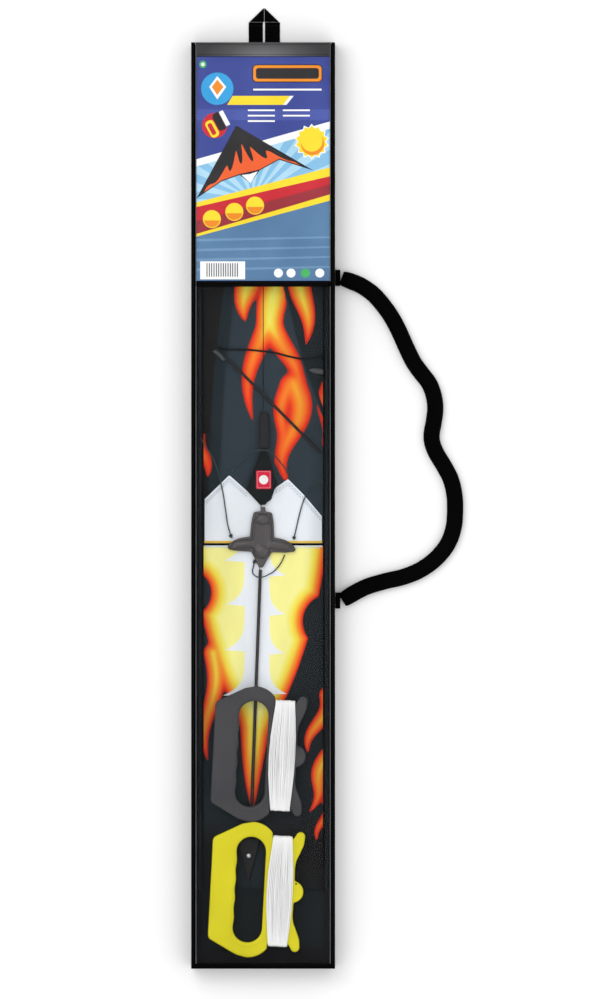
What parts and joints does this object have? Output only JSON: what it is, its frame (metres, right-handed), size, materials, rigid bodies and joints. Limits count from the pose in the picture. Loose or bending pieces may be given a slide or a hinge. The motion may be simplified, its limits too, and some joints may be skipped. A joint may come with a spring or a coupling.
{
  "type": "delta kite",
  "caption": "Folded delta stunt kite in a clear-fronted carry sleeve with header card, hanger, shoulder strap and line winders; the contents slide out of the open mouth.",
  "frame": {"origin": "under the middle of the pack, hanger included, on the surface it lies on", "axes": "+X across the pack towards the strap, +Y along the pack to the hanger, +Z out of the clear front"},
  "size_m": [0.3031, 1.071, 0.037],
  "materials": {
    "sleeve_nylon": "satin",
    "pocket_lining": "matt",
    "clear_vinyl": "clear gloss",
    "binding_tape": "matt",
    "webbing": "matt",
    "printed_card": "gloss print",
    "dark_ripstop": "satin",
    "flame_ripstop": "satin",
    "pale_ripstop": "satin",
    "red_label": "matt",
    "fibre_rod": "satin",
    "rubber_fitting": "matt",
    "grey_clip": "matt",
    "hub_plastic": "satin",
    "bridle_cord": "matt",
    "grey_plastic": "satin",
    "yellow_plastic": "satin",
    "white_line": "matt"
  },
  "bodies": {
    "sleeve": {"sleeve_back_panel": "sleeve_nylon", "sleeve_left_gusset": "sleeve_nylon", "sleeve_right_gusset": "sleeve_nylon", "sleeve_foot_panel": "sleeve_nylon", "card_pocket_lining": "pocket_lining", "main_window": "clear_vinyl", "card_window": "clear_vinyl", "window_divider_tape": "binding_tape", "mouth_hem_band": "sleeve_nylon", "foot_binding": "binding_tape", "left_piping": "binding_tape", "right_piping": "binding_tape", "strap_upper_tab": "webbing", "strap_lower_tab": "webbing"},
    "hanger": {"hanger_left_leg": "webbing", "hanger_right_leg": "webbing", "hanger_peak": "webbing"},
    "card": {"header_card": "printed_card"},
    "strap": {"carry_strap": "webbing"},
    "kite": {"under_sail_left": "dark_ripstop", "under_sail_right": "dark_ripstop", "nose_panel_left": "flame_ripstop", "nose_panel_right": "flame_ripstop", "keel_panel_left": "pale_ripstop", "keel_panel_right": "pale_ripstop", "wing_panel_left": "dark_ripstop", "wing_panel_right": "dark_ripstop", "tail_patch": "dark_ripstop", "fabric_label": "red_label", "leading_edge_pocket_left": "dark_ripstop", "leading_edge_pocket_right": "dark_ripstop", "leading_edge_rod_left": "fibre_rod", "leading_edge_rod_right": "fibre_rod", "wing_tip_cap_left": "rubber_fitting", "wing_tip_cap_right": "rubber_fitting", "lower_spreader_left": "fibre_rod", "lower_spreader_right": "fibre_rod", "stand_off_left": "fibre_rod", "stand_off_right": "fibre_rod", "upper_spreader": "fibre_rod", "spine_tail_section": "fibre_rod", "spine_nose_section": "fibre_rod", "spine_tail_cap": "rubber_fitting", "nose_cap": "rubber_fitting", "nose_rivet": "grey_clip", "right_spreader_clip": "grey_clip", "left_spreader_clip": "grey_clip", "centre_hub": "hub_plastic", "bridle_left": "bridle_cord", "bridle_right": "bridle_cord", "bridle_loop": "bridle_cord", "tail_line": "bridle_cord", "braided_cord": "bridle_cord"},
    "grey_winder_set": {"grey_winder": "grey_plastic", "grey_winder_line": "white_line"},
    "yellow_winder_set": {"yellow_winder": "yellow_plastic", "yellow_winder_line": "white_line"}
  },
  "joints": [
    {"name": "kite_slide", "type": "slide", "parent": "sleeve", "child": "kite", "axis": [0, 1, 0], "range_m": [0, 1.03]},
    {"name": "card_slide", "type": "slide", "parent": "sleeve", "child": "card", "axis": [0, 1, 0], "range_m": [0, 0.27]},
    {"name": "grey_winder_slide", "type": "slide", "parent": "sleeve", "child": "grey_winder_set", "axis": [0, 1, 0], "range_m": [0, 1.03]},
    {"name": "yellow_winder_slide", "type": "slide", "parent": "sleeve", "child": "yellow_winder_set", "axis": [0, 1, 0], "range_m": [0, 1.03]},
    {"name": "strap_swing", "type": "hinge", "parent": "sleeve", "child": "strap", "pos_m": [0.0862, 0.0535, 0.0063], "axis": [0, -1, 0], "range_deg": [0, 90]},
    {"name": "hanger_fold", "type": "hinge", "parent": "sleeve", "child": "hanger", "pos_m": [0.0011, 0.4948, 0.002], "axis": [-1, 0, 0], "range_deg": [-90, 0]}
  ],
  "couplings": [
    {"joint": "yellow_winder_slide", "follows": "grey_winder_slide", "ratio": 1}
  ]
}
